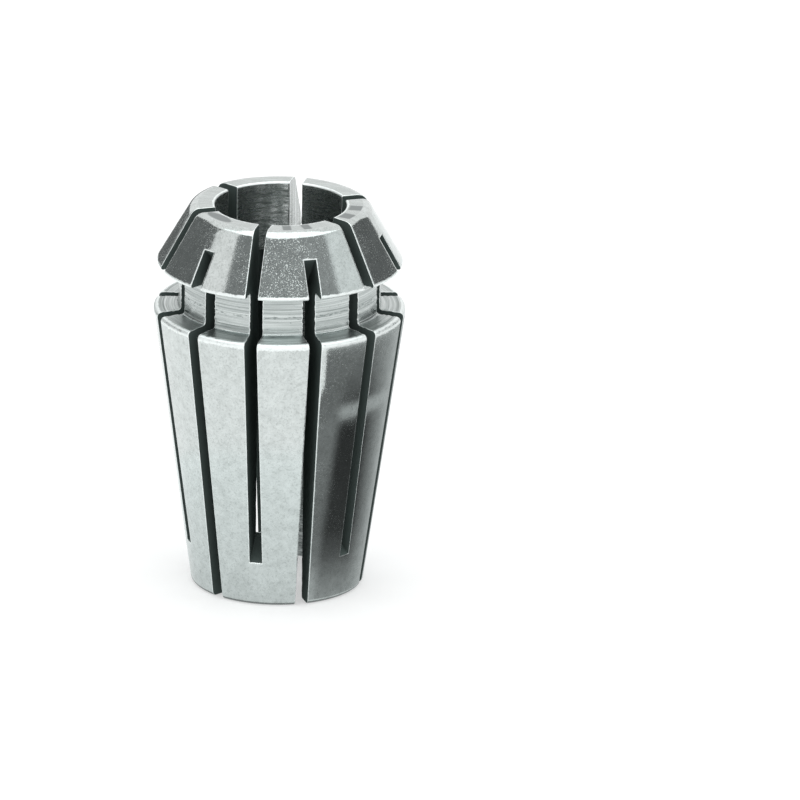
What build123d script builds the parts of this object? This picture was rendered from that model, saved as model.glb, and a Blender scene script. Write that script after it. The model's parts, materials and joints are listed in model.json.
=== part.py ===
from build123d import *
import math
import os

# A spring collet for a tapered socket and a cap nut, turned, hardened and slotted from
# one bar. It stands on its small end: the origin is the centre of the rear face, +Z
# points at the front face, and the first of the front slots faces -Y.

# Driving dimensions, in millimetres: max_diameter is at the top of the tapered body, at
# the sharp corner before it is rounded, and the nose's rear edge is nose_step inside it
overall_length = 18.0
max_diameter = 11.5
bore_diameter = 6.0
nose_step = 0.1
nose_length = 2.8
groove_width = 2.05
groove_diameter = 9.2
slot_width = 0.58
saw_radius = 12.0

# Angles, in degrees: the cones' are from the axis, the shoulder's is from level
body_half_angle = 8.0
nose_half_angle = 30.0
shoulder_slope = 4.0

# Edge rounds and breaks, in millimetres
face_edge_round = 0.5
nose_edge_round = 0.11
nose_root_round = 0.15
shoulder_root_round = 0.15
shoulder_edge_round = 0.2
rear_edge_round = 0.25
bore_mouth_break = 0.08

# Slots: as many are cut from the front face as from the rear face, in turn
slots_each_end = 6
first_front_slot_angle = -90.0

# What a slot leaves uncut at its closed end, in millimetres from the face there: on the
# outside of the wall, and higher up at the bore, where the round saw has not reached
front_slot_web_outside = 2.12
front_slot_web_at_bore = 3.2
rear_slot_web_outside = 1.14
rear_slot_web_at_bore = 3.2

# How far the slot cutters run past the bore, the widest edge and the open face
cutter_overrun = 0.3

# Radii and heights that follow from the sizes above
max_radius = max_diameter / 2
nose_radius = max_radius - nose_step
bore_radius = bore_diameter / 2
groove_radius = groove_diameter / 2
nose_root_height = overall_length - nose_length
shoulder_height = nose_root_height - groove_width
body_slope = math.tan(math.radians(body_half_angle))
nose_slope = math.tan(math.radians(nose_half_angle))
rear_radius = max_radius - shoulder_height * body_slope
face_radius = nose_radius - nose_length * nose_slope
shoulder_rise = (max_radius - groove_radius) * math.tan(math.radians(shoulder_slope))
rear_wall = rear_radius - bore_radius
slot_pitch = 360 / slots_each_end


def body_radius_at(height):
    """Radius of the tapered body at a height above the rear face."""
    return max_radius - (shoulder_height - height) * body_slope


def nose_radius_at(height):
    """Radius of the nose cone at a height above the rear face."""
    return nose_radius - (height - nose_root_height) * nose_slope


def turned_blank():
    """The solid of revolution before it is slotted, from its half section."""
    corners = [
        ((bore_radius + bore_mouth_break, 0), 0),
        ((rear_radius, 0), min(rear_edge_round, 0.7 * rear_wall)),
        ((max_radius, shoulder_height), shoulder_edge_round),
        ((groove_radius, shoulder_height + shoulder_rise), shoulder_root_round),
        ((groove_radius, nose_root_height), nose_root_round),
        ((nose_radius, nose_root_height), nose_edge_round),
        ((face_radius, overall_length), face_edge_round),
        ((bore_radius + bore_mouth_break, overall_length), 0),
        ((bore_radius, overall_length - bore_mouth_break), 0),
        ((bore_radius, bore_mouth_break), 0),
    ]
    with BuildPart() as blank:
        with BuildSketch(Plane.XZ):
            with BuildLine():
                FilletPolyline(
                    *[point for point, _ in corners],
                    radius=[radius for _, radius in corners],
                    close=True,
                )
            make_face()
        revolve(axis=Axis.Z)
    return blank.part


def saw_run_out(outside, at_bore):
    """The arc that the round saw leaves across the wall, through two (radius, height)
    points, as a function from radius to height. The saw stands outside the wall."""
    across = outside[0] - at_bore[0]
    climb = at_bore[1] - outside[1]
    chord = math.hypot(across, climb)
    reach = math.sqrt(saw_radius**2 - (chord / 2) ** 2) / chord
    centre_radius = (outside[0] + at_bore[0]) / 2 + reach * climb
    centre_height = (outside[1] + at_bore[1]) / 2 + reach * across

    def height_at(radius):
        return centre_height - math.sqrt(saw_radius**2 - (radius - centre_radius) ** 2)

    return height_at


def slot_cutter(web_outside, web_at_bore, outside_radius):
    """One slot's slab along +X, closed at the bottom by the saw's arc, open at the top."""
    run_out = saw_run_out((outside_radius, web_outside), (bore_radius, web_at_bore))
    inner = bore_radius - cutter_overrun
    outer = max_radius + cutter_overrun
    middle = (inner + outer) / 2
    top = overall_length + cutter_overrun
    with BuildPart() as cutter:
        with BuildSketch(Plane.XZ):
            with BuildLine():
                ThreePointArc(
                    (inner, run_out(inner)),
                    (middle, run_out(middle)),
                    (outer, run_out(outer)),
                )
                Polyline(
                    (outer, run_out(outer)),
                    (outer, top),
                    (inner, top),
                    (inner, run_out(inner)),
                )
            make_face()
        extrude(amount=slot_width / 2, both=True)
    return cutter.part


def front_slots():
    """Cutters for the slots that are open at the front face."""
    radius = body_radius_at(front_slot_web_outside)
    cutter = slot_cutter(front_slot_web_outside, front_slot_web_at_bore, radius)
    return [
        Rot(Z=first_front_slot_angle + index * slot_pitch) * cutter
        for index in range(slots_each_end)
    ]


def rear_slots():
    """Cutters for the slots that are open at the rear face, midway between the others."""
    radius = nose_radius_at(overall_length - rear_slot_web_outside)
    cutter = slot_cutter(rear_slot_web_outside, rear_slot_web_at_bore, radius)
    cutter = mirror(cutter, about=Plane.XY.offset(overall_length / 2))
    return [
        Rot(Z=first_front_slot_angle + (index + 0.5) * slot_pitch) * cutter
        for index in range(slots_each_end)
    ]


def collet():
    """The slotted collet, one solid. The blank is turned so that the seam of its round
    faces stands in the middle of a finger, clear of every slot."""
    blank = Rot(Z=first_front_slot_angle + slot_pitch / 4) * turned_blank()
    return blank.cut(*front_slots(), *rear_slots())


os.makedirs("parts", exist_ok=True)
export_step(collet(), "parts/collet.step")
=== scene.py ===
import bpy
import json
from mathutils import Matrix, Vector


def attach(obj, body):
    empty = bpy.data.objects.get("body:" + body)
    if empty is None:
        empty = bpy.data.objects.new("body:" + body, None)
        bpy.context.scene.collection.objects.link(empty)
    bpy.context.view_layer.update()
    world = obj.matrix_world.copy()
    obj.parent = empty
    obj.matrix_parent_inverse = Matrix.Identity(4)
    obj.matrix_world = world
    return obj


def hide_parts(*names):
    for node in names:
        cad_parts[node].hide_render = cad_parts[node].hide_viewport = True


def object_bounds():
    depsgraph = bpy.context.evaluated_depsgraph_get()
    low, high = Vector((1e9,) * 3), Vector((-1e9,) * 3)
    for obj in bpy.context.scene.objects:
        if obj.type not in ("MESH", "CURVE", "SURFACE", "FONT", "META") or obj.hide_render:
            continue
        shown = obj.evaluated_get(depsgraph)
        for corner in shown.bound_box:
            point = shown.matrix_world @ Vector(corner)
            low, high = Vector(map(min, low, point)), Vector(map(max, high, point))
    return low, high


bl_info = {
    "name": "Spring collet",
    "version": (1, 0, 0),
    "blender": (4, 5, 0),
    "location": "3D View > Sidebar > Collet",
    "description": "A slotted spring collet, its ground and turned steel, and its studio",
    "category": "Add Mesh",
}

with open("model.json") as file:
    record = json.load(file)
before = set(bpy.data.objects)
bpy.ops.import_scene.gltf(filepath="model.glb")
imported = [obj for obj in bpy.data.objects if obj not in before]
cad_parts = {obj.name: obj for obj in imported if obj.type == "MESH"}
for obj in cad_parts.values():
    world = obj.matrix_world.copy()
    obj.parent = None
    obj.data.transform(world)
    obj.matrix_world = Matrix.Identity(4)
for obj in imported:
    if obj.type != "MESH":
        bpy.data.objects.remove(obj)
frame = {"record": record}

import json
import math

import bmesh
import bpy
from bpy.props import FloatProperty, FloatVectorProperty, IntProperty, PointerProperty
from mathutils import Matrix, Vector

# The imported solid's box and the bore that the record states give the sizes that
# everything else is built around.
CAD_LOW, CAD_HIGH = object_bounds()
BORE_MOUNT = next(m for m in frame["record"]["mounts"] if m["name"] == "bore")
MM = 0.001
MICRON = 1e-6
DEGREE = math.pi / 180

# Socket types
FLOAT, COLOR, VECTOR = "NodeSocketFloat", "NodeSocketColor", "NodeSocketVector"
GEOMETRY, MATERIAL = "NodeSocketGeometry", "NodeSocketMaterial"

# Width and height of the picture in pixels
PICTURE = 800

# The first of the front slots faces -Y
FIRST_SLOT = -90 * DEGREE

# Zones of the surface, each with its own finish
ZONES = ("Ground", "Turned", "Shoulder", "Bore", "Sawn", "Face")
GROUND, TURNED, SHOULDER, BORE, SAWN, FACE = range(len(ZONES))

# How ragged the saw leaves a slot's edge in each zone that it cuts
RAGGED = {GROUND: 0.15, TURNED: 1.0, SHOULDER: 1.0, BORE: 0.5, FACE: 0.0}


def length_property(name, description, default):
    return FloatProperty(
        name=name, description=description, default=default, unit="LENGTH", precision=6
    )


def angle_property(name, description, default):
    return FloatProperty(
        name=name, description=description, default=default * DEGREE, subtype="ANGLE"
    )


def colour_property(name, description, default):
    return FloatVectorProperty(
        name=name, description=description, default=default, size=3, subtype="COLOR",
        min=0, max=1,
    )


class ColletSizes(bpy.types.PropertyGroup):
    """Sizes of the turned blank and of its slots, in metres."""

    length: length_property("Length", "Rear face to front face", CAD_HIGH.z - CAD_LOW.z)
    bore_radius: length_property(
        "Bore radius", "Radius of the bore", BORE_MOUNT["dims"]["r_mm"] * MM
    )
    max_radius: length_property("Widest radius", "Top of the tapered body", 5.75 * MM)
    nose_step: length_property("Nose step", "Nose's rear edge inside the widest", 0.1 * MM)
    nose_length: length_property("Nose length", "Length of the nose cone", 2.8 * MM)
    groove_width: length_property("Groove width", "Width of the nut groove", 2.05 * MM)
    groove_radius: length_property("Groove radius", "Floor of the nut groove", 4.6 * MM)
    body_angle: angle_property("Body angle", "Taper of the body from its axis", 8)
    nose_angle: angle_property("Nose angle", "Cone of the nose from its axis", 30)
    shoulder_slope: angle_property("Shoulder slope", "Fall of the shoulder from level", 4)
    slot_width: length_property("Slot width", "Width of every slot", 0.58 * MM)
    saw_radius: length_property("Saw radius", "Radius of the round saw's run-out", 12 * MM)
    front_web: length_property("Front web", "Left uncut at the rear, outside", 2.12 * MM)
    front_web_bore: length_property("Front bore web", "The same at the bore", 3.2 * MM)
    rear_web: length_property("Rear web", "Left uncut at the nose, outside", 1.14 * MM)
    rear_web_bore: length_property("Rear bore web", "The same at the bore", 3.2 * MM)
    face_round: length_property("Face round", "Round at the face's edge", 0.5 * MM)
    nose_round: length_property("Nose round", "Round at the nose's rear edge", 0.11 * MM)
    nose_root: length_property("Nose root", "Round between groove and nose", 0.15 * MM)
    shoulder_root: length_property("Shoulder root", "Groove to shoulder", 0.15 * MM)
    shoulder_round: length_property("Shoulder round", "Top edge of body", 0.2 * MM)
    rear_round: length_property("Rear round", "Round at the rear face's edge", 0.25 * MM)
    mouth_break: length_property("Mouth break", "Round at the bore's mouths", 0.08 * MM)
    slot_break: length_property("Slot edge break", "Round on the slots' edges", 0.02 * MM)
    hem: length_property("Hem", "Strip by the slots that ends their wear", 0.07 * MM)
    wedges: IntProperty(name="Wedges", description="Equal wedges in the ring", default=6)


class ColletFinish(bpy.types.PropertyGroup):
    """Colours of the steel and the grain of its finishes."""

    steel: colour_property("Steel", "Ground steel, lighter grain", (0.65, 0.69, 0.68))
    steel_dark: colour_property("Steel shade", "Ground steel, darker", (0.44, 0.47, 0.46))
    turned: colour_property("Turned steel", "Lathe lines' ridges", (0.66, 0.70, 0.69))
    turned_dark: colour_property("Turned shade", "Lathe lines", (0.25, 0.28, 0.275))
    honed: colour_property("Honed steel", "Bore, between its lines", (0.86, 0.90, 0.89))
    honed_dark: colour_property("Honed shade", "The bore's lines", (0.26, 0.29, 0.28))
    sawn: colour_property("Sawn steel", "Walls of the slots", (0.62, 0.66, 0.65))
    sawn_dark: colour_property("Sawn shade", "The saw's lines", (0.12, 0.135, 0.13))
    faced_dark: colour_property("Facing shade", "Face's lines", (0.4, 0.43, 0.42))
    # Bright colour of the worn edges and rounds: partly real wear, partly a painted
    # highlight
    wear_and_highlight: colour_property("Worn and highlighted edges", "Bright wear along the edges", (0.86, 0.90, 0.89))
    # Painted shade: a dark colour on the slots' walls where shade falls in them
    painted_slot_shade: colour_property("Painted Shade", "Dark film of oil in the slots", (0.07, 0.09, 0.085))
    etched: colour_property("Etched", "Laser-etched marks on the face", (0.19, 0.21, 0.21))
    grain: length_property("Grain", "Size of the ground finish's grain", 0.06 * MM)
    mottle: length_property("Mottle", "Size of the soft blotches", 0.42 * MM)
    patch: length_property("Patch", "Size of patches with more glints", 1.4 * MM)
    wear_break: length_property("Wear break", "Size of gaps in the wear", 0.15 * MM)
    turning_pitch: length_property("Turning pitch", "Lathe lines in groove", 0.055 * MM)
    honing_pitch: length_property("Honing pitch", "Fine lines in the bore", 0.085 * MM)
    facing_pitch: length_property("Facing pitch", "Grinding lines on faces", 0.05 * MM)
    sawing_pitch: length_property("Sawing pitch", "Saw marks on walls", 0.05 * MM)
    ragged: length_property("Ragged", "Twice how far slots' edges stray", 0.12 * MM)
    ragged_size: length_property("Ragged size", "Size of the notches", 0.12 * MM)


class ColletStudio(bpy.types.PropertyGroup):
    """Floor, light and camera."""

    floor: colour_property("Floor", "Colour of the floor", (0.58, 0.59, 0.59))
    floor_size: length_property("Floor size", "Side of the square floor", 4)
    floor_glow: FloatProperty(
        name="Floor glow", description="Light from under the white floor", default=0.42
    )
    ambient: FloatProperty(name="Ambient", description="Light all round", default=1.03)
    overhead: FloatProperty(name="Overhead", description="Softbox power", default=0.45)
    overhead_size: length_property("Overhead size", "Side of the softbox", 0.25)
    overhead_height: length_property("Overhead height", "Softbox over collet", 0.5)
    azimuth: angle_property("Azimuth", "Camera round the collet from -Y", 13.2)
    elevation: angle_property("Elevation", "Camera above the floor", 19.35)
    roll: angle_property("Roll", "Camera's roll", 0.6)
    distance: length_property("Distance", "Camera to the collet's centre", 1200 * MM)
    picture_scale: FloatProperty(
        name="Picture scale", description="Pixels for a metre at the collet", default=21994
    )
    centre_x: FloatProperty(name="Centre X", description="Collet's centre", default=278.74)
    centre_y: FloatProperty(name="Centre Y", description="Collet's centre", default=390.66)


# The half section of the blank, walked anticlockwise with the radius to the right


class Row:
    """One ring of points round the blank: radius, height, and the zone that follows."""

    def __init__(self, at, zone, wear_and_highlight=0.0, ragged=0.0, tag=None):
        self.at = Vector(at)
        self.zone = zone
        self.wear_and_highlight = wear_and_highlight
        self.ragged = ragged
        self.tag = tag
        self.normal = None
        self.ahead = None


def rounded_corner(before, corner, after, radius):
    """Points of the arc that rounds a corner of the section, or the corner itself."""
    if radius == 0:
        return [corner]
    inward = (before - corner).normalized()
    onward = (after - corner).normalized()
    opening = inward.angle(onward)
    reach = radius / math.tan(opening / 2)
    middle = (inward + onward).normalized() * (radius / math.sin(opening / 2))
    centre = corner + middle
    start = corner + inward * reach - centre
    turn = start.angle_signed(corner + onward * reach - centre)
    count = max(2, round(abs(turn) / (9 * DEGREE)))
    points = []
    for index in range(count + 1):
        spin = Matrix.Rotation(-turn * index / count, 2)
        points.append(centre + spin @ start)
    return points


def run_points(start, end, step, stops):
    """Points between two ends of a straight run, evenly spaced, with rows kept at the
    stops: (share of the run, tag)."""
    span = (end - start).length
    count = max(1, math.ceil(span / step))
    shares = [(index / count, None) for index in range(1, count)]
    for share, tag in stops:
        shares = [s for s in shares if abs(s[0] - share) * span > 0.5 * step or s[1]]
        shares.append((share, tag))
    return [(start.lerp(end, share), tag) for share, tag in sorted(shares)]


def section_heights(s):
    """Heights of the shoulder's edge and of the nose's rear edge."""
    root = s.length - s.nose_length
    return root - s.groove_width, root


def body_radius(s, height):
    """Radius of the tapered body at a height."""
    shoulder, _ = section_heights(s)
    return s.max_radius - (shoulder - height) * math.tan(s.body_angle)


def nose_radius(s, height):
    """Radius of the nose cone at a height."""
    _, root = section_heights(s)
    return s.max_radius - s.nose_step - (height - root) * math.tan(s.nose_angle)


def section_rows(s):
    """The closed half section as rows, with rows where the slots end."""
    shoulder, root = section_heights(s)
    rise = (s.max_radius - s.groove_radius) * math.tan(s.shoulder_slope)
    edge, hem = s.slot_break, s.slot_break + s.hem
    clear = 1.6 * edge

    def stops(start, end, height, side, tag):
        """Where a slot's closed end crosses a run: side is +1 when the slot is above."""
        return [
            ((height + side * offset - start) / (end - start), name)
            for offset, name in ((-hem, "hem"), (-edge, tag), (clear, "clear"))
        ]

    body_stops = stops(0, shoulder, s.front_web, 1, "front_outside")
    nose_stops = stops(root, s.length, s.length - s.rear_web, -1, "rear_outside")
    bore_stops = stops(s.length, 0, s.front_web_bore, 1, "front_bore") + stops(
        s.length, 0, s.length - s.rear_web_bore, -1, "rear_bore"
    )
    top, groove = s.length, s.groove_radius
    # Corner: place, round, wear with painted highlight, and zone. Then the run that
    # follows
    # it: zone, step in mm and stops
    corners = [
        ((s.bore_radius, 0), s.mouth_break, 0, GROUND, FACE, 0.15, []),
        ((body_radius(s, 0), 0), s.rear_round, 0, GROUND, GROUND, 0.22, body_stops),
        ((s.max_radius, shoulder), s.shoulder_round, 1, GROUND, SHOULDER, 0.1, []),
        ((groove, shoulder + rise), s.shoulder_root, 0, TURNED, TURNED, 0.06, []),
        ((groove, root), s.nose_root, 0, TURNED, TURNED, 0.15, []),
        ((nose_radius(s, root), root), s.nose_round, 1, GROUND, GROUND, 0.14, nose_stops),
        ((nose_radius(s, top), top), s.face_round, 0, GROUND, FACE, 0.15, []),
        ((s.bore_radius, top), s.mouth_break, 1, GROUND, BORE, 0.3, bore_stops),
    ]
    points = [Vector(corner[0]) for corner in corners]
    arcs = []
    for index, corner in enumerate(corners):
        before, after = points[index - 1], points[(index + 1) % len(points)]
        arcs.append(rounded_corner(before, points[index], after, corner[1]))
    rows = []
    for index, (_, _, wear_and_highlight, corner_zone, zone, step, run_stops) in enumerate(corners):
        arc, following = arcs[index], arcs[(index + 1) % len(arcs)]
        rows += [Row(at, corner_zone, wear_and_highlight) for at in arc]
        rows[-1].zone = zone
        # Shares are measured between the sharp corners, so they are moved to the run
        start, end = points[index], points[(index + 1) % len(points)]
        span = (end - start).length
        low = (arc[-1] - start).length / span
        high = (following[0] - start).length / span
        shifted = [((share - low) / (high - low), tag) for share, tag in run_stops]
        for at, tag in run_points(arc[-1], following[0], step * MM, shifted):
            rows.append(Row(at, zone, ragged=RAGGED[zone], tag=tag))
    for index, row in enumerate(rows):
        ahead = (rows[(index + 1) % len(rows)].at - row.at).normalized()
        behind = (row.at - rows[index - 1].at).normalized()
        row.ahead = ahead
        slope = (ahead + behind).normalized()
        row.normal = Vector((slope.y, -slope.x))
    return rows


def saw_arc(s, outside, at_bore, closed_below):
    """Height of the saw's run-out at a distance from the axis. The arc goes through two
    (radius, height) points, and the slot is above it if closed_below."""
    flip = 1 if closed_below else -1
    across = outside[0] - at_bore[0]
    climb = (at_bore[1] - outside[1]) * flip
    chord = math.hypot(across, climb)
    reach = math.sqrt(s.saw_radius**2 - (chord / 2) ** 2) / chord
    centre_radius = (outside[0] + at_bore[0]) / 2 + reach * climb
    centre_height = (outside[1] + at_bore[1]) / 2 + flip * reach * across

    def height_at(x):
        return centre_height - flip * math.sqrt(s.saw_radius**2 - (x - centre_radius) ** 2)

    return height_at


class WedgeBuilder:
    """One sixth of the collet, from the middle of one finger to the middle of the next
    but one: a front slot, a whole finger, a rear slot and two half fingers."""

    strip = 4  # faces across an uncut slot's width
    half_finger = 4  # faces across half a finger
    run_out = 10  # faces along the saw's run-out

    def __init__(self, s):
        self.s = s
        self.mesh = bmesh.new()
        self.zone = self.mesh.faces.layers.int.new("zone")
        self.edge = self.mesh.verts.layers.float.new("edge")
        self.ragged = self.mesh.verts.layers.float.new("ragged")
        self.rows = section_rows(s)
        self.pitch = math.pi / s.wedges
        self.front = FIRST_SLOT
        self.rear = self.front + self.pitch
        self.reach = s.slot_width / 2 + s.slot_break

    def face(self, corners, zone, smooth=True):
        made = self.mesh.faces.new(corners)
        made[self.zone] = zone
        made.smooth = smooth
        return made

    def columns(self):
        """Every column as (angle at a radius, slot that its inside is cut by)."""
        found = []
        start = self.front - self.pitch / 2
        end = self.rear + self.pitch / 2

        def offset(radius):
            return math.asin(self.reach / radius)

        def finger(low, high, shares):
            for share in shares:
                found.append(
                    (lambda r, t=share: low(r) + t * (high(r) - low(r)), None)
                )

        def slot(angle, name):
            hem = self.reach + self.s.hem
            found.append((lambda r: angle - math.asin(hem / r), None))
            for index in range(self.strip + 1):
                y = self.reach * (2 * index / self.strip - 1)
                inside = 0 < index < self.strip
                found.append(
                    (lambda r, y=y: angle + math.asin(y / r), name if inside else None)
                )
            found.append((lambda r: angle + math.asin(hem / r), None))

        n = self.half_finger
        finger(
            lambda r: start, lambda r: self.front - offset(r), [i / n for i in range(n)]
        )
        slot(self.front, "front")
        finger(
            lambda r: self.front + offset(r),
            lambda r: self.rear - offset(r),
            [i / (2 * n) for i in range(1, 2 * n)],
        )
        slot(self.rear, "rear")
        finger(
            lambda r: self.rear + offset(r), lambda r: end,
            [i / n for i in range(1, n + 1)],
        )
        return found

    def row_index(self, tag):
        return next(i for i, row in enumerate(self.rows) if row.tag == tag)

    def cut_rows(self, slot):
        """Rows that a slot opens, from one closed end to the other, both included."""
        if slot == "front":
            start, end = self.row_index("front_outside"), self.row_index("front_bore")
        else:
            start, end = self.row_index("rear_bore"), self.row_index("rear_outside")
        count = len(self.rows)
        length = (end - start) % count
        return [(start + index) % count for index in range(length + 1)]

    def skin(self):
        """The turned surface, without what the slots cut away."""
        columns = self.columns()
        count = len(self.rows)
        inner = {name: set(self.cut_rows(name)[1:-1]) for name in ("front", "rear")}
        cut = {name: set(self.cut_rows(name)[:-1]) for name in ("front", "rear")}
        self.grid = {}
        for i, row in enumerate(self.rows):
            radius, height = row.at
            for j, (angle, slot) in enumerate(columns):
                if slot and i in inner[slot]:
                    continue
                turn = angle(radius)
                at = (radius * math.cos(turn), radius * math.sin(turn), height)
                made = self.grid[i, j] = self.mesh.verts.new(at)
                # Worn rounds get bright wear with a painted highlight
                made[self.edge] = row.wear_and_highlight
        # Each slot has a hem column before and after its own
        front = self.half_finger + 1
        rear = front + self.strip + 2 * self.half_finger + 2
        self.slot_columns = {
            name: list(range(first, first + self.strip + 1))
            for name, first in (("front", front), ("rear", rear))
        }
        for i in range(count):
            for j in range(len(columns) - 1):
                name = next(
                    (n for n, c in self.slot_columns.items() if c[0] <= j < c[-1]), None
                )
                if name and i in cut[name]:
                    continue
                k = (i + 1) % count
                corners = [self.grid[i, j], self.grid[i, j + 1]]
                corners += [self.grid[k, j + 1], self.grid[k, j]]
                self.face(corners, self.rows[i].zone)

    def slot_point(self, angle, x, y, height):
        across = Vector((math.cos(angle), math.sin(angle), 0))
        along = Vector((-math.sin(angle), math.cos(angle), 0))
        return across * x + along * y + Vector((0, 0, height))

    def edge_ring(self, name, angle, share, arc):
        """One loop round a slot's opening, share of the way round its edge break."""
        s, c = self.s, self.s.slot_break
        turn = share * math.pi / 2
        y = s.slot_width / 2 + c * (1 - math.sin(turn))
        inset = c * (1 - math.cos(turn))
        rows = self.cut_rows(name)
        places = []
        for position, i in enumerate(rows):
            row = self.rows[i]
            at = row.at - row.normal * inset
            if position == 0:
                at = at + row.ahead * (c * math.sin(turn))
            elif position == len(rows) - 1:
                at = at - self.rows[i - 1].ahead * (c * math.sin(turn))
            places.append(at)

        def vertex(at, y, on_arc):
            x = math.sqrt(at.x**2 - y**2)
            height = arc(x) if on_arc else at.y
            made = self.mesh.verts.new(self.slot_point(angle, x, y, height))
            # Slots' edges are worn: bright wear, partly a painted highlight
            made[self.edge] = 1.0
            return made

        last = share == 1
        ends = (0, len(places) - 1)
        left = [vertex(at, -y, last and p in ends) for p, at in enumerate(places)]
        right = [vertex(at, y, last and p in ends) for p, at in enumerate(places)]
        for side in (left, right):
            for made, i in zip(side, rows):
                made[self.ragged] = self.rows[i].ragged
        shares = [2 * index / self.strip - 1 for index in range(1, self.strip)]
        bottom = [vertex(places[-1], y * t, last) for t in shares]
        top = [vertex(places[0], y * t, last) for t in shares]
        return left, bottom, right, top

    def surface_ring(self, name):
        """The same loop in the turned surface itself."""
        rows, columns = self.cut_rows(name), self.slot_columns[name]
        left = [self.grid[i, columns[0]] for i in rows]
        right = [self.grid[i, columns[-1]] for i in rows]
        bottom = [self.grid[rows[-1], j] for j in columns[1:-1]]
        top = [self.grid[rows[0], j] for j in columns[1:-1]]
        # Slots' edges are worn: bright wear, partly a painted highlight
        for vertex in left + right + bottom + top:
            vertex[self.edge] = 1.0
        for side in (left, right):
            for vertex, i in zip(side, rows):
                vertex[self.ragged] = self.rows[i].ragged
        return left, bottom, right, top

    def slot(self, name, angle, outside, at_bore):
        """A slot's edge breaks, its two walls and its run-out."""
        arc = saw_arc(self.s, outside, at_bore, name == "front")
        rings = [self.surface_ring(name)]
        rings += [self.edge_ring(name, angle, share, arc) for share in (0.5, 1)]
        loops = [
            left + bottom + right[::-1] + top[::-1] for left, bottom, right, top in rings
        ]
        for outer, inner in zip(loops, loops[1:]):
            for index in range(len(outer)):
                following = (index + 1) % len(outer)
                corners = [outer[index], inner[index], inner[following], outer[following]]
                self.face(corners, GROUND)
        left, bottom, right, top = rings[-1]
        end_line = [left[-1]] + bottom + [right[-1]]
        start_line = [left[0]] + top + [right[0]]
        lines = [end_line]
        for step in range(1, self.run_out):
            share = step / self.run_out
            line = []
            for a, b in zip(end_line, start_line):
                x_a = math.hypot(a.co.x, a.co.y)
                x_b = math.hypot(b.co.x, b.co.y)
                y = (len(line) / self.strip - 0.5) * self.s.slot_width
                x_a, x_b = math.sqrt(x_a**2 - y**2), math.sqrt(x_b**2 - y**2)
                x = x_a + (x_b - x_a) * share
                line.append(self.mesh.verts.new(self.slot_point(angle, x, y, arc(x))))
            lines.append(line)
        lines.append(start_line)
        for upper, lower in zip(lines, lines[1:]):
            for k in range(self.strip):
                self.face([upper[k], lower[k], lower[k + 1], upper[k + 1]], SAWN)
        left_wall = left + [line[0] for line in lines[1:-1]]
        right_wall = right + [line[-1] for line in lines[1:-1]]
        for corners in (left_wall[::-1], right_wall):
            wall = self.face(corners, SAWN)
            for edge in wall.edges:
                if all(face[self.zone] == SAWN for face in edge.link_faces):
                    edge.smooth = False

    def build(self):
        s = self.s
        rear_height = s.length - s.rear_web
        self.skin()
        self.slot(
            "front", self.front,
            (body_radius(s, s.front_web), s.front_web), (s.bore_radius, s.front_web_bore),
        )
        self.slot(
            "rear", self.rear,
            (nose_radius(s, rear_height), rear_height),
            (s.bore_radius, s.length - s.rear_web_bore),
        )
        mesh = bpy.data.meshes.new("collet_wedge")
        self.mesh.to_mesh(mesh)
        self.mesh.free()
        return mesh


# Small helpers for node trees


def add(tree, kind, inputs=None, **settings):
    """A node with its settings and inputs: a socket is linked, a value is set."""
    made = tree.nodes.new(kind)
    for name, value in settings.items():
        setattr(made, name, value)
    for name, value in (inputs or {}).items():
        socket = made.inputs[name]
        if isinstance(value, bpy.types.NodeSocket):
            tree.links.new(value, socket)
        else:
            socket.default_value = value
    return made


def math_node(tree, operation, *values):
    return add(
        tree, "ShaderNodeMath", dict(enumerate(values)), operation=operation
    ).outputs[0]


def new_group(name, kind, inputs, outputs):
    """A node group with named sockets: inputs are (name, type, default)."""
    tree = bpy.data.node_groups.new(name, kind)
    for socket_name, socket_type, default in inputs:
        socket = tree.interface.new_socket(
            name=socket_name, in_out="INPUT", socket_type=socket_type
        )
        if default is not None:
            socket.default_value = default
    for socket_name, socket_type in outputs:
        tree.interface.new_socket(
            name=socket_name, in_out="OUTPUT", socket_type=socket_type
        )
    given = tree.nodes.new("NodeGroupInput").outputs
    result = tree.nodes.new("NodeGroupOutput").inputs
    return tree, given, result


def with_outputs(tree, result, **sockets):
    """The group, with its outputs linked."""
    for name, socket in sockets.items():
        tree.links.new(socket, result[name])
    return tree


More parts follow.
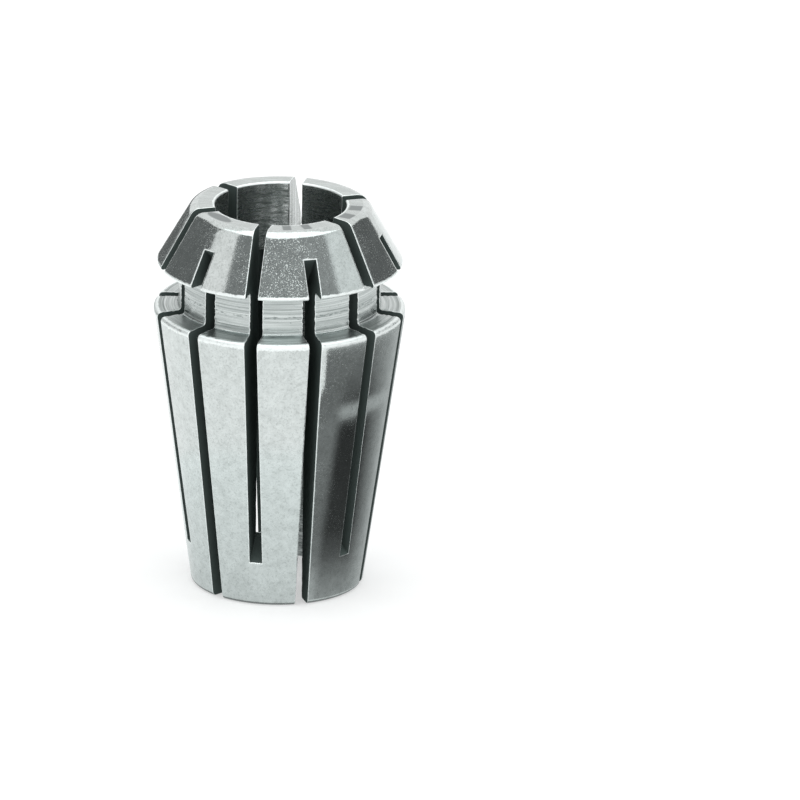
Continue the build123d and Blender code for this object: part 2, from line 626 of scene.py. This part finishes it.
def ring_tree():
    """Geometry Nodes: equal copies of a wedge round the axis, merged into one body, with
    ragged slot edges and a finish for each zone."""
    tree, given, result = new_group(
        "Ring of wedges",
        "GeometryNodeTree",
        [
            ("Geometry", GEOMETRY, None),
            ("Wedges", "NodeSocketInt", 6),
            ("Merge Distance", FLOAT, 0.0),
            ("Ragged Amount", FLOAT, 0.0),
            ("Ragged Size", FLOAT, 1.0),
            ("Seed", FLOAT, 0.0),
            *((name, MATERIAL, None) for name in ZONES),
        ],
        [("Geometry", GEOMETRY)],
    )
    points = add(tree, "GeometryNodePoints", {"Count": given["Wedges"]})
    index = add(tree, "GeometryNodeInputIndex")
    turn = math_node(tree, "DIVIDE", 2 * math.pi, given["Wedges"])
    angle = math_node(tree, "MULTIPLY", index.outputs[0], turn)
    euler = add(tree, "ShaderNodeCombineXYZ", {"Z": angle})
    rotation = add(tree, "FunctionNodeEulerToRotation", {"Euler": euler.outputs[0]})
    copies = add(
        tree, "GeometryNodeInstanceOnPoints",
        {
            "Points": points.outputs[0],
            "Instance": given["Geometry"],
            "Rotation": rotation.outputs[0],
        },
    )
    real = add(tree, "GeometryNodeRealizeInstances", {"Geometry": copies.outputs[0]})
    merged = add(
        tree, "GeometryNodeMergeByDistance",
        {"Geometry": real.outputs[0], "Distance": given["Merge Distance"]},
    )
    ragged = add(
        tree, "GeometryNodeInputNamedAttribute", {"Name": "ragged"}, data_type="FLOAT"
    ).outputs["Attribute"]
    place = add(tree, "GeometryNodeInputPosition")
    scale = math_node(tree, "DIVIDE", 1.0, given["Ragged Size"])
    scaled = add(
        tree, "ShaderNodeVectorMath", {0: place.outputs[0], "Scale": scale},
        operation="SCALE",
    )
    noise = add(
        tree, "ShaderNodeTexNoise",
        {"Vector": scaled.outputs[0], "W": given["Seed"], "Scale": 1.0, "Detail": 2.0},
        noise_dimensions="4D",
    )
    centred = add(
        tree, "ShaderNodeVectorMath", {0: noise.outputs["Color"], 1: (0.5, 0.5, 0.5)},
        operation="SUBTRACT",
    )
    amount = math_node(tree, "MULTIPLY", ragged, given["Ragged Amount"])
    offset = add(
        tree, "ShaderNodeVectorMath", {0: centred.outputs[0], "Scale": amount},
        operation="SCALE",
    )
    moved = add(
        tree, "GeometryNodeSetPosition",
        {"Geometry": merged.outputs[0], "Offset": offset.outputs[0]},
    )
    zone = add(tree, "GeometryNodeInputNamedAttribute", {"Name": "zone"}, data_type="INT")
    body = moved.outputs[0]
    for number, name in enumerate(ZONES):
        # Inputs 2 and 3 are the integers that it compares
        chosen = add(
            tree, "FunctionNodeCompare", {2: zone.outputs["Attribute"], 3: number},
            data_type="INT", operation="EQUAL",
        )
        body = add(
            tree, "GeometryNodeSetMaterial",
            {"Geometry": body, "Selection": chosen.outputs[0], "Material": given[name]},
        ).outputs[0]
    return with_outputs(tree, result, Geometry=body)


def plain_mesh(holder, name):
    """The holder's evaluated shape as a plain object, and the holder removed."""
    graph = bpy.context.evaluated_depsgraph_get()
    mesh = bpy.data.meshes.new_from_object(holder.evaluated_get(graph))
    mesh.name = name
    piece = bpy.data.objects.new(name, mesh)
    bpy.context.collection.objects.link(piece)
    bpy.data.objects.remove(holder)
    return piece


# Finishes: each is a node group that gives a colour, a roughness and a height

FINISH_OUTPUTS = [("Color", COLOR), ("Roughness", FLOAT), ("Height", FLOAT)]
FINISH_INPUTS = [
    ("Vector", VECTOR, None),
    ("Light", COLOR, None),
    ("Dark", COLOR, None),
    ("Smooth", FLOAT, 0.1),
    ("Rough", FLOAT, 0.3),
]


def mixed_colour(tree, factor, first, second):
    """Two colours mixed by a factor from 0 to 1."""
    made = add(tree, "ShaderNodeMix", data_type="RGBA")
    for name, value in (("Factor", factor), ("A", first), ("B", second)):
        socket = next(s for s in made.inputs if s.name == name and s.enabled)
        tree.links.new(value, socket)
    return next(s for s in made.outputs if s.enabled)


def mixed_value(tree, factor, first, second):
    """Two numbers mixed by a factor from 0 to 1."""
    return add(
        tree, "ShaderNodeMix", {"Factor": factor, "A": first, "B": second}
    ).outputs["Result"]


def ranged(tree, value, low, high, to_low=0.0, to_high=1.0):
    """A value moved from one range to another and held inside it."""
    return add(
        tree, "ShaderNodeMapRange",
        {"Value": value, "From Min": low, "From Max": high, "To Min": to_low,
         "To Max": to_high},
    ).outputs[0]


def noise_value(tree, vector, size, detail=2.0, roughness=0.5):
    """Noise with blotches of a size given by a socket or a number."""
    scale = math_node(tree, "DIVIDE", 1.0, size)
    return add(
        tree, "ShaderNodeTexNoise",
        {"Vector": vector, "Scale": scale, "Detail": detail, "Roughness": roughness},
    ).outputs["Fac"]


def line_noise(tree, along, length, across, width, layer, detail, roughness=0.5):
    """Noise stretched to a length and a width. The layer picks one pattern of many."""
    x = math_node(tree, "DIVIDE", along, length)
    y = math_node(tree, "DIVIDE", across, width)
    place = add(tree, "ShaderNodeCombineXYZ", {"X": x, "Y": y, "Z": layer}).outputs[0]
    return add(
        tree, "ShaderNodeTexNoise",
        {"Vector": place, "Scale": 1.0, "Detail": detail, "Roughness": roughness},
    ).outputs["Fac"]


def ground_finish():
    """Ground steel: fine grain that glints in patches, small dark specks and soft
    blotches."""
    tree, given, result = new_group(
        "Ground finish",
        "ShaderNodeTree",
        FINISH_INPUTS + [
            ("Grain Size", FLOAT, 0.06 * MM),
            ("Mottle Size", FLOAT, 0.42 * MM),
            ("Patch Size", FLOAT, 1.4 * MM),
            ("Speck Strength", FLOAT, 0.4),
        ],
        FINISH_OUTPUTS,
    )
    place = given["Vector"]
    grain = noise_value(tree, place, given["Grain Size"], 2.0, 0.6)
    # Only the peaks of this noise are specks, so the range is narrow
    speck_size = math_node(tree, "MULTIPLY", given["Grain Size"], 1.7)
    specks = ranged(tree, noise_value(tree, place, speck_size, 3.0), 0.53, 0.64)
    dark = math_node(tree, "MULTIPLY", specks, given["Speck Strength"])
    mottle = noise_value(tree, place, given["Mottle Size"], 6.0, 0.78)
    shade = math_node(tree, "SUBTRACT", ranged(tree, mottle, 0.16, 0.62), dark)
    shade = ranged(tree, shade, 0.0, 1.0)
    colour = mixed_colour(tree, shade, given["Dark"], given["Light"])
    # The grain's peaks are rough, which makes them glint, more of them in some patches
    patches = noise_value(tree, place, given["Patch Size"], 1.0)
    shift = ranged(tree, patches, 0.35, 0.65, -0.05, 0.05)
    glints = math_node(tree, "ADD", grain, shift)
    rough = ranged(tree, glints, 0.56, 0.76, given["Smooth"], given["Rough"])
    return with_outputs(tree, result, Color=colour, Roughness=rough, Height=grain)


def lined_finish():
    """Fine lines that a tool leaves, round the axis or straight across a face, and small
    torn flecks, dense in one row."""
    fleck_length, fleck_width = 0.11 * MM, 0.06 * MM
    row_half, row_end = 0.03 * MM, 0.1 * MM
    tree, given, result = new_group(
        "Lined finish",
        "ShaderNodeTree",
        FINISH_INPUTS + [
            ("Pitch", FLOAT, 0.1 * MM),
            ("Length", FLOAT, 1 * MM),
            ("Round Axis", FLOAT, 1.0),
            ("Contrast", FLOAT, 0.2),
            ("Flecks", FLOAT, 0.0),
            ("Fleck Height", FLOAT, 14 * MM),
        ],
        FINISH_OUTPUTS,
    )
    parts = add(tree, "ShaderNodeSeparateXYZ", {"Vector": given["Vector"]}).outputs
    angle = math_node(tree, "ARCTAN2", parts["Y"], parts["X"])
    arc = math_node(tree, "MULTIPLY", angle, BORE_MOUNT["dims"]["r_mm"] * MM)
    along = mixed_value(tree, given["Round Axis"], parts["X"], arc)
    level = add(tree, "ShaderNodeCombineXYZ", {"X": parts["X"], "Y": parts["Y"]})
    radius = add(
        tree, "ShaderNodeVectorMath", {0: level.outputs[0]}, operation="LENGTH"
    ).outputs["Value"]
    section = math_node(tree, "ADD", parts["Z"], radius)
    across = mixed_value(tree, given["Round Axis"], parts["Y"], section)
    lines = line_noise(tree, along, given["Length"], across, given["Pitch"], 0.5, 3.0, 0.7)
    flecks = line_noise(tree, along, fleck_length, across, fleck_width, 4.5, 2.0)
    # In the row the flecks' noise is raised, so more of it passes as torn
    from_row = math_node(tree, "SUBTRACT", parts["Z"], given["Fleck Height"])
    in_row = ranged(
        tree, math_node(tree, "ABSOLUTE", from_row), row_half, row_end, 0.16, -0.03
    )
    dense = math_node(tree, "ADD", flecks, in_row)
    torn = math_node(tree, "MULTIPLY", ranged(tree, dense, 0.66, 0.74), given["Flecks"])
    low = math_node(tree, "SUBTRACT", 0.5, given["Contrast"])
    high = math_node(tree, "ADD", 0.5, given["Contrast"])
    shade = math_node(tree, "SUBTRACT", ranged(tree, lines, low, high), torn)
    shade = ranged(tree, shade, 0.0, 1.0)
    colour = mixed_colour(tree, shade, given["Dark"], given["Light"])
    rough = ranged(tree, shade, 0.0, 1.0, given["Rough"], given["Smooth"])
    return with_outputs(tree, result, Color=colour, Roughness=rough, Height=lines)


def edge_wear_and_highlight():
    """Bright, uneven wear along the slots' edges and on the worn rounds, over any finish:
    partly real wear and partly a painted highlight."""
    tree, given, result = new_group(
        "Edge wear and highlight",
        "ShaderNodeTree",
        [
            ("Color", COLOR, None),
            ("Roughness", FLOAT, 0.2),
            ("Edge", FLOAT, 0.0),
            ("Vector", VECTOR, None),
            ("Wear And Highlight", COLOR, None),
            ("Worn Roughness", FLOAT, 0.5),
            ("Break Size", FLOAT, 0.15 * MM),
        ],
        [("Color", COLOR), ("Roughness", FLOAT)],
    )
    # An edge of 1 is worn, with painted highlight, everywhere; a lower one only where the
    # noise is low
    uneven = noise_value(tree, given["Vector"], given["Break Size"], 3.0)
    reach = ranged(tree, uneven, 0.3, 0.7, 0.35, 0.0)
    near = math_node(tree, "SUBTRACT", given["Edge"], 0.6)
    amount = ranged(tree, math_node(tree, "ADD", near, reach), 0.25, 0.54)
    colour = mixed_colour(tree, amount, given["Color"], given["Wear And Highlight"])
    rough = mixed_value(tree, amount, given["Roughness"], given["Worn Roughness"])
    return with_outputs(tree, result, Color=colour, Roughness=rough)


def slot_painted_shade():
    """Painted shade in the slots: a dull dark colour on their walls where shade falls.
    Only the walls in the nose on the +Y side, which catch light, are left unshaded."""
    tree, given, result = new_group(
        "Slot painted shade",
        "ShaderNodeTree",
        [
            ("Color", COLOR, None),
            ("Vector", VECTOR, None),
            ("Painted Shade", COLOR, None),
            ("Unshaded Above", FLOAT, 15 * MM),
            ("Unshaded Beyond", FLOAT, 2.7 * MM),
        ],
        [("Color", COLOR), ("Metallic", FLOAT)],
    )
    parts = add(tree, "ShaderNodeSeparateXYZ", {"Vector": given["Vector"]}).outputs
    above = math_node(tree, "SUBTRACT", parts["Z"], given["Unshaded Above"])
    beyond = math_node(tree, "SUBTRACT", parts["Y"], given["Unshaded Beyond"])
    high = ranged(tree, above, -0.3 * MM, 0.3 * MM)
    far = ranged(tree, beyond, -0.2 * MM, 0.2 * MM)
    unshaded = math_node(tree, "MULTIPLY", high, far)
    colour = mixed_colour(tree, unshaded, given["Painted Shade"], given["Color"])
    return with_outputs(tree, result, Color=colour, Metallic=unshaded)


# Plain marks etched in the front face, which spell nothing: slot pitches round from the
# first slot, then distance from the axis, width and height in mm, and whether it is round
ETCHED_MARKS = [
    (-0.68, 3.42, 1.7, 0.56, True),
    (0.30, 3.45, 0.4, 0.68, False),
    (0.55, 3.45, 0.4, 0.68, False),
    (1.24, 3.45, 0.66, 0.62, False),
    (1.57, 3.45, 0.66, 0.62, False),
]


def etched_marks(s):
    """Small plain marks, etched dull and grey in the front face only."""
    tree, given, result = new_group(
        "Etched marks",
        "ShaderNodeTree",
        [
            ("Color", COLOR, None),
            ("Roughness", FLOAT, 0.2),
            ("Vector", VECTOR, None),
            ("Etched", COLOR, None),
            ("Etched Roughness", FLOAT, 0.36),
            ("Cover", FLOAT, 0.9),
        ],
        [("Color", COLOR), ("Roughness", FLOAT)],
    )
    mask = None
    for turn, out, width, height, is_round in ETCHED_MARKS:
        angle = FIRST_SLOT + turn * 2 * math.pi / s.wedges
        out_way = Vector((math.cos(angle), math.sin(angle), 0))
        side_way = Vector((-math.sin(angle), math.cos(angle), 0))
        sizes = []
        for way, place, size in ((side_way, 0, width), (out_way, out, height)):
            dot = add(
                tree, "ShaderNodeVectorMath", {0: given["Vector"], 1: way},
                operation="DOT_PRODUCT",
            ).outputs["Value"]
            away = math_node(tree, "SUBTRACT", dot, place * MM)
            share = math_node(tree, "DIVIDE", away, size / 2 * MM)
            sizes.append(math_node(tree, "ABSOLUTE", share))
        if is_round:
            squares = [math_node(tree, "POWER", size, 2.0) for size in sizes]
            far = math_node(tree, "ADD", *squares)
        else:
            far = math_node(tree, "MAXIMUM", *sizes)
        # Each mark's outline is at 1, and this range makes it a little soft
        inside = ranged(tree, far, 0.82, 1.15, 1.0, 0.0)
        mask = inside if mask is None else math_node(tree, "MAXIMUM", mask, inside)
    parts = add(tree, "ShaderNodeSeparateXYZ", {"Vector": given["Vector"]}).outputs
    on_face = math_node(tree, "GREATER_THAN", parts["Z"], s.length / 2)
    mask = math_node(tree, "MULTIPLY", mask, on_face)
    cover = math_node(tree, "MULTIPLY", mask, given["Cover"])
    colour = mixed_colour(tree, cover, given["Color"], given["Etched"])
    rough = mixed_value(tree, cover, given["Roughness"], given["Etched Roughness"])
    return with_outputs(tree, result, Color=colour, Roughness=rough)


def steel_material(name, finish, settings, bump, over=(), shine=0.5):
    """Steel with one finish group and the height of its bump in metres. Each group over
    it, with its values, takes what lies under it and changes it."""
    made = bpy.data.materials.new(name)
    made.use_nodes = True
    tree = made.node_tree
    tree.nodes.clear()
    place = add(tree, "ShaderNodeTexCoord").outputs["Object"]
    base = add(tree, "ShaderNodeGroup", {"Vector": place, **settings}, node_tree=finish)
    relief = add(
        tree, "ShaderNodeBump",
        {"Height": base.outputs["Height"], "Strength": 1.0, "Distance": bump},
    )
    found = {"Vector": place, **dict(base.outputs.items())}
    for group, values in over:
        cover = add(tree, "ShaderNodeGroup", values, node_tree=group)
        # The edge attribute places the bright wear and painted highlight
        if "Edge" in cover.inputs:
            edge = add(tree, "ShaderNodeAttribute", attribute_name="edge")
            tree.links.new(edge.outputs["Fac"], cover.inputs["Edge"])
        for key in ("Vector", "Color", "Roughness"):
            if key in cover.inputs:
                tree.links.new(found[key], cover.inputs[key])
        found.update(cover.outputs.items())
    shader = add(
        tree, "ShaderNodeBsdfPrincipled",
        {
            "Base Color": found["Color"],
            "Roughness": found["Roughness"],
            "Normal": relief.outputs[0],
            "Metallic": found.get("Metallic", 1.0),
            "Specular IOR Level": shine,
        },
    )
    output = add(tree, "ShaderNodeOutputMaterial")
    tree.links.new(shader.outputs[0], output.inputs["Surface"])
    return made


def rgba(colour):
    return (*colour, 1)


def collet_materials(s, f):
    """The material of each zone."""
    ground, lined = ground_finish(), lined_finish()
    # Bright wear on the edges and rounds, partly a painted highlight
    wear_and_highlight = (edge_wear_and_highlight(), {"Wear And Highlight": rgba(f.wear_and_highlight), "Break Size": f.wear_break})
    etched = (etched_marks(s), {"Etched": rgba(f.etched)})
    _, root = section_heights(s)
    # Painted shade on the slots' walls, left off the lit nose walls
    painted_slot_shade = (slot_painted_shade(), {"Painted Shade": rgba(f.painted_slot_shade), "Unshaded Above": root})
    return {
        GROUND: steel_material(
            "ground_steel", ground,
            {"Light": rgba(f.steel), "Dark": rgba(f.steel_dark), "Smooth": 0.08,
             "Rough": 0.52, "Grain Size": f.grain, "Mottle Size": f.mottle,
             "Patch Size": f.patch},
            1.6 * MICRON, [wear_and_highlight],
        ),
        TURNED: steel_material(
            "turned_steel", lined,
            {"Light": rgba(f.turned), "Dark": rgba(f.turned_dark), "Smooth": 0.19,
             "Rough": 0.36, "Pitch": f.turning_pitch, "Length": 3.2 * MM,
             "Contrast": 0.21, "Flecks": 0.8,
             "Fleck Height": root - s.groove_width * 0.55},
            2 * MICRON, [wear_and_highlight],
        ),
        SHOULDER: steel_material(
            "shoulder_steel", lined,
            {"Light": rgba(f.turned), "Dark": rgba(f.turned_dark), "Smooth": 0.26,
             "Rough": 0.44, "Pitch": f.turning_pitch, "Length": 3.2 * MM,
             "Contrast": 0.17, "Flecks": 0.3},
            3.5 * MICRON, [wear_and_highlight],
        ),
        BORE: steel_material(
            "honed_steel", lined,
            {"Light": rgba(f.honed), "Dark": rgba(f.honed_dark), "Smooth": 0.16,
             "Rough": 0.36, "Pitch": f.honing_pitch, "Length": 0.5 * MM,
             "Contrast": 0.12},
            7 * MICRON,
        ),
        SAWN: steel_material(
            "sawn_steel", lined,
            {"Light": rgba(f.sawn), "Dark": rgba(f.sawn_dark), "Smooth": 0.12,
             "Rough": 0.25, "Pitch": f.sawing_pitch, "Length": 0.4 * MM,
             "Round Axis": 0.0, "Contrast": 0.12},
            6 * MICRON, [painted_slot_shade], shine=0.0,
        ),
        FACE: steel_material(
            "faced_steel", lined,
            {"Light": rgba(f.steel), "Dark": rgba(f.faced_dark), "Smooth": 0.16,
             "Rough": 0.32, "Pitch": f.facing_pitch, "Length": 0.9 * MM,
             "Round Axis": 0.0, "Contrast": 0.22},
            1.2 * MICRON, [wear_and_highlight, etched],
        ),
    }


class COLLET_OT_body(bpy.types.Operator):
    """Build the collet: one sixth of it in mesh code, and the ring in Geometry Nodes"""

    bl_idname = "collet.body"
    bl_label = "Build collet"

    def execute(self, context):
        s, f = context.scene.collet_sizes, context.scene.collet_finish
        holder = bpy.data.objects.new("collet_wedge", WedgeBuilder(s).build())
        context.collection.objects.link(holder)
        tree = ring_tree()
        finishes = collet_materials(s, f)
        ring = holder.modifiers.new("Ring", "NODES")
        ring.node_group = tree
        values = {
            "Wedges": s.wedges,
            "Merge Distance": 0.002 * MM,
            "Ragged Amount": f.ragged,
            "Ragged Size": f.ragged_size,
            "Seed": 3.0,
            **{name: finishes[zone] for zone, name in enumerate(ZONES)},
        }
        for item in tree.interface.items_tree:
            if item.in_out == "INPUT" and item.name in values:
                ring[item.identifier] = values[item.name]
        body = plain_mesh(holder, "collet_body")
        weighted = body.modifiers.new("Normals", "WEIGHTED_NORMAL")
        weighted.keep_sharp = True
        body = plain_mesh(body, "spring_collet")
        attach(body, "root")
        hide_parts("collet")
        return {"FINISHED"}


# Cards that the steel reflects: azimuths from the camera's side and elevations in
# degrees, distance in metres, and brightness
CARDS = [
    ("front_left_card", (-58, -28), (22, 46), 0.35, 0.28),
    ("front_card", (-28, 34), (34.5, 46), 0.35, 0.36),
    ("low_front_card", (-26, 30), (21, 33.5), 0.35, 2.5),
    ("front_right_card", (34, 62), (22, 46), 0.35, 0.38),
    ("right_front_card", (62, 97), (24, 46), 0.35, 0.92),
    ("top_card", (-100, 100), (47, 90), 0.35, 1.9),
    ("top_rear_card", (100, 260), (66, 90), 0.35, 1.9),
    ("left_card", (-140, -88), (1, 40), 0.35, 0.18),
    ("left_rear_card", (-178, -136), (-8, 8), 0.06, 0.16),
    ("right_card", (98, 139), (1, 34), 0.35, 0.16),
]

# The floor near the collet, as the steel reflects it: distance from the axis in mm and
# brightness, outside a dark disc under the rear face
FLOOR_RINGS = [(16, 1.12), (9, 0.97), (6, 0.9)]
UNDER_FOOT, BESIDE_FOOT = 0.3, 0.8

# The side flag's brightness: height on the taper in mm, then left and right, and the
# brightness far round the taper
FLAG_FAR_SHADE = 0.55
FLAG_STATIONS = [
    (0.0, 0.55, 0.4), (1.0, 0.5, 0.3), (2.2, 0.27, 0.13), (3.6, 0.2, 0.05),
    (8.7, 0.25, 0.04), (9.1, 0.24, 0.12), (9.3, 0.22, 0.5), (9.7, 0.22, 0.5),
    (10.0, 0.2, 0.08), (10.6, 0.19, 0.14), (12.6, 0.22, 0.24), (13.2, 0.6, 0.6),
]


def share_of_way(value, low, high):
    """How far a value is on its way from low to high, held between 0 and 1."""
    return min(1, max(0, (value - low) / (high - low)))


def flag_shade(angle, height):
    """Brightness of the side flag, lighter to the left and near the floor, with one light
    band across, at degrees round the taper and a height in mm."""
    for low, high in zip(FLAG_STATIONS, FLAG_STATIONS[1:]):
        if height <= high[0]:
            break
    share = (height - low[0]) / (high[0] - low[0])
    left = low[1] + (high[1] - low[1]) * share
    right = low[2] + (high[2] - low[2]) * share
    # The two sides meet on a line that leans to the right as it rises
    line = 25 + 0.75 * height
    across = share_of_way(angle, line - 2.5, line + 2.5)
    far = share_of_way(angle, 50, 72)
    return (left + (right - left) * across) * (1 - far) + FLAG_FAR_SHADE * far


def direction(azimuth, elevation):
    """Unit vector to a point seen at an azimuth from -Y and a height."""
    flat = math.cos(elevation)
    x, y = math.sin(azimuth) * flat, -math.cos(azimuth) * flat
    return Vector((x, y, math.sin(elevation)))


def grid_faces(columns, rows):
    """Faces of a grid whose points are listed row by row."""
    corners = (0, 1, columns + 2, columns + 1)
    return [
        tuple(i * (columns + 1) + j + corner for corner in corners)
        for i in range(rows) for j in range(columns)
    ]


# A trace of cyan, as in the photo's greys
CARD_TINT = (0.97, 1.01, 1.01, 1)


def shaded_sheet(name, points, faces, shades):
    """A glowing sheet that only the steel sees, as a reflection, with a grey for each of
    its points."""
    mesh = bpy.data.meshes.new(name)
    mesh.from_pydata(points, [], faces)
    layer = mesh.attributes.new("shade", "FLOAT", "POINT")
    layer.data.foreach_set("value", shades)
    glow = bpy.data.materials.new(name)
    glow.use_nodes = True
    tree = glow.node_tree
    tree.nodes.clear()
    grey = add(tree, "ShaderNodeAttribute", attribute_name="shade").outputs["Fac"]
    light = add(tree, "ShaderNodeEmission", {"Color": CARD_TINT, "Strength": grey})
    output = add(tree, "ShaderNodeOutputMaterial")
    tree.links.new(light.outputs[0], output.inputs["Surface"])
    mesh.materials.append(glow)
    sheet = bpy.data.objects.new(name, mesh)
    bpy.context.collection.objects.link(sheet)
    sheet.visible_camera = False
    sheet.visible_diffuse = False
    sheet.visible_shadow = False


class COLLET_OT_stage(bpy.types.Operator):
    """Set the floor, the soft light, the cards that the steel reflects, and the camera"""

    bl_idname = "collet.stage"
    bl_label = "Set stage"

    def execute(self, context):
        scene = context.scene
        sizes, studio = scene.collet_sizes, scene.collet_studio
        centre = (CAD_LOW + CAD_HIGH) / 2
        self.floor(studio)
        self.light(scene, studio, centre)
        self.cards(studio, centre)
        self.side_flag(sizes, studio)
        self.contact_shade(sizes)
        self.camera(scene, studio, centre)
        scene.view_settings.view_transform = "Standard"
        return {"FINISHED"}

    def floor(self, studio):
        """A plain floor that glows a little, so that it stays white."""
        half = studio.floor_size / 2
        mesh = bpy.data.meshes.new("floor")
        mesh.from_pydata(
            [(-half, -half, 0), (half, -half, 0), (half, half, 0), (-half, half, 0)],
            [], [(0, 1, 2, 3)],
        )
        made = bpy.data.materials.new("pale_floor")
        made.use_nodes = True
        shader = made.node_tree.nodes["Principled BSDF"]
        shader.inputs["Base Color"].default_value = rgba(studio.floor)
        shader.inputs["Roughness"].default_value = 0.9
        shader.inputs["Emission Color"].default_value = (1, 1, 1, 1)
        shader.inputs["Emission Strength"].default_value = studio.floor_glow
        mesh.materials.append(made)
        floor = bpy.data.objects.new("floor", mesh)
        bpy.context.collection.objects.link(floor)

    def light(self, scene, studio, centre):
        """Even white light all round and one soft lamp overhead."""
        world = bpy.data.worlds.new("studio")
        world.use_nodes = True
        background = world.node_tree.nodes["Background"]
        background.inputs["Color"].default_value = (1, 1, 1, 1)
        background.inputs["Strength"].default_value = studio.ambient
        scene.world = world
        lamp = bpy.data.lights.new("overhead", "AREA")
        lamp.shape = "SQUARE"
        lamp.size = studio.overhead_size
        lamp.energy = studio.overhead
        light = bpy.data.objects.new("overhead", lamp)
        light.location = centre + Vector((0, 0, studio.overhead_height))
        light.visible_camera = False
        bpy.context.collection.objects.link(light)

    def cards(self, studio, centre):
        """Curved cards, each part of a sphere round the collet's centre."""
        columns, rows = 16, 6
        for name, azimuths, elevations, distance, shade in CARDS:
            points = []
            for i in range(rows + 1):
                elevation = elevations[0] + (elevations[1] - elevations[0]) * i / rows
                for j in range(columns + 1):
                    azimuth = azimuths[0] + (azimuths[1] - azimuths[0]) * j / columns
                    way = direction(studio.azimuth + azimuth * DEGREE, elevation * DEGREE)
                    points.append(centre + way * distance)
            shaded_sheet(name, points, grid_faces(columns, rows), [shade] * len(points))

    def side_flag(self, s, studio):
        """A grey flag close beside the body. Each of its points lies on the ray that the
        taper reflects from the camera, so the shades are given by place on the taper."""
        columns, rows = 36, 60
        longest, lowest = 4 * MM, 0.01
        shoulder, _ = section_heights(s)
        tilt = s.body_angle
        to_camera = direction(0, studio.elevation)
        turn = Matrix.Rotation(studio.azimuth, 3, "Z")
        points, shades = [], []
        for i in range(rows + 1):
            height = shoulder * (lowest + (1 - lowest) * i / rows)
            # The flag's left edge steps to the right near the shoulder
            left, right = 17 + 5.5 * share_of_way(height / MM, 9.8, 11.0), 88
            for j in range(columns + 1):
                angle = left + (right - left) * j / columns
                flat = direction(angle * DEGREE, 0)
                normal = direction(angle * DEGREE, -tilt)
                ray = normal * (2 * normal.dot(to_camera)) - to_camera
                # It stops just over the floor
                reach = min(longest, 0.97 * height / -ray.z)
                at = flat * body_radius(s, height) + Vector((0, 0, height)) + ray * reach
                points.append(turn @ at)
                shades.append(flag_shade(angle, height / MM))
        shaded_sheet("side_flag", points, grid_faces(columns, rows), shades)

    def contact_shade(self, s):
        """A disc just over the floor, dark under the rear face and lighter outwards."""
        columns, lift = 64, 0.005 * MM
        foot = body_radius(s, 0) / MM + 0.06
        under = [(foot + 0.04, BESIDE_FOOT), (foot, UNDER_FOOT), (0.1, UNDER_FOOT)]
        rings = FLOOR_RINGS + under
        points, shades = [], []
        for radius, shade in rings:
            for j in range(columns + 1):
                turn = 2 * math.pi * j / columns
                points.append((*(direction(turn, 0) * radius * MM).xy, lift))
                shades.append(shade)
        faces = grid_faces(columns, len(rings) - 1)
        shaded_sheet("contact_shade", points, faces, shades)

    def camera(self, scene, studio, centre):
        """A camera far off, so nearly parallel, with the collet's centre at its pixel."""
        back = direction(studio.azimuth, studio.elevation)
        level = direction(studio.azimuth + math.pi / 2, 0)
        upright = back.cross(level)
        right = level * math.cos(studio.roll) + upright * math.sin(studio.roll)
        up = upright * math.cos(studio.roll) - level * math.sin(studio.roll)
        place = centre + back * studio.distance
        aim = centre + right * ((PICTURE / 2 - studio.centre_x) / studio.picture_scale)
        aim -= up * ((PICTURE / 2 - studio.centre_y) / studio.picture_scale)
        axis = (place - aim).normalized()
        side = (right - axis * right.dot(axis)).normalized()
        data = bpy.data.cameras.new("camera")
        data.sensor_width = 36
        data.lens = data.sensor_width * studio.picture_scale * studio.distance / PICTURE
        data.clip_start, data.clip_end = 0.01, 10
        camera = bpy.data.objects.new("camera", data)
        turn = Matrix((side, axis.cross(side), axis)).transposed()
        camera.matrix_world = Matrix.Translation(place) @ turn.to_4x4()
        bpy.context.collection.objects.link(camera)
        scene.camera = camera


class COLLET_PT_panel(bpy.types.Panel):
    """Sizes, finishes and steps of the collet"""

    bl_idname = "COLLET_PT_panel"
    bl_label = "Collet"
    bl_space_type = "VIEW_3D"
    bl_region_type = "UI"
    bl_category = "Collet"

    def draw(self, context):
        for operator in (COLLET_OT_body, COLLET_OT_stage):
            self.layout.operator(operator.bl_idname)
        scene = context.scene
        for group in (scene.collet_sizes, scene.collet_finish, scene.collet_studio):
            box = self.layout.box()
            for name in group.__annotations__:
                box.prop(group, name)


CLASSES = (
    ColletSizes,
    ColletFinish,
    ColletStudio,
    COLLET_OT_body,
    COLLET_OT_stage,
    COLLET_PT_panel,
)


def register():
    for item in CLASSES:
        bpy.utils.register_class(item)
    bpy.types.Scene.collet_sizes = PointerProperty(type=ColletSizes)
    bpy.types.Scene.collet_finish = PointerProperty(type=ColletFinish)
    bpy.types.Scene.collet_studio = PointerProperty(type=ColletStudio)


def unregister():
    del bpy.types.Scene.collet_studio
    del bpy.types.Scene.collet_finish
    del bpy.types.Scene.collet_sizes
    for item in reversed(CLASSES):
        bpy.utils.unregister_class(item)


def main():
    register()
    bpy.ops.collet.stage()
    bpy.ops.collet.body()


if __name__ == "__main__":
    main()
